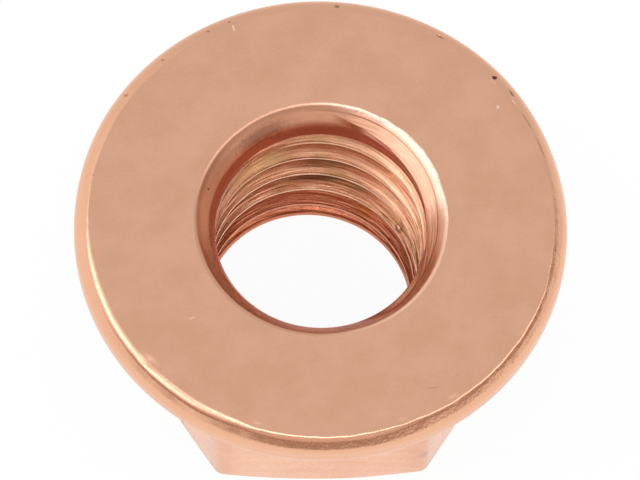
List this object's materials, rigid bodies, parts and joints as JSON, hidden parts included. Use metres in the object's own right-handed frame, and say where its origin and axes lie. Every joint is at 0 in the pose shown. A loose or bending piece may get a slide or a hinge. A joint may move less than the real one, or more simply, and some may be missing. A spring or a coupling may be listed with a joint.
{
  "type": "exhaust manifold nut",
  "caption": "Copper plated hexagon flange nut with a plain flat bearing face, a countersunk right-hand thread and a chamfered hexagon end, for exhaust manifold studs.",
  "frame": {"origin": "centre of the hexagon's flat end, where the nut stands", "axes": "+Z along the thread's axis from the hexagon end to the bearing face, -Y out of the middle of one flat"},
  "size_m": [0.0162, 0.0162, 0.008],
  "materials": {
    "copper_plate": "satin copper plate over forged steel, lightly marked"
  },
  "bodies": {
    "root": {"flange_nut": "copper_plate"}
  },
  "joints": []
}
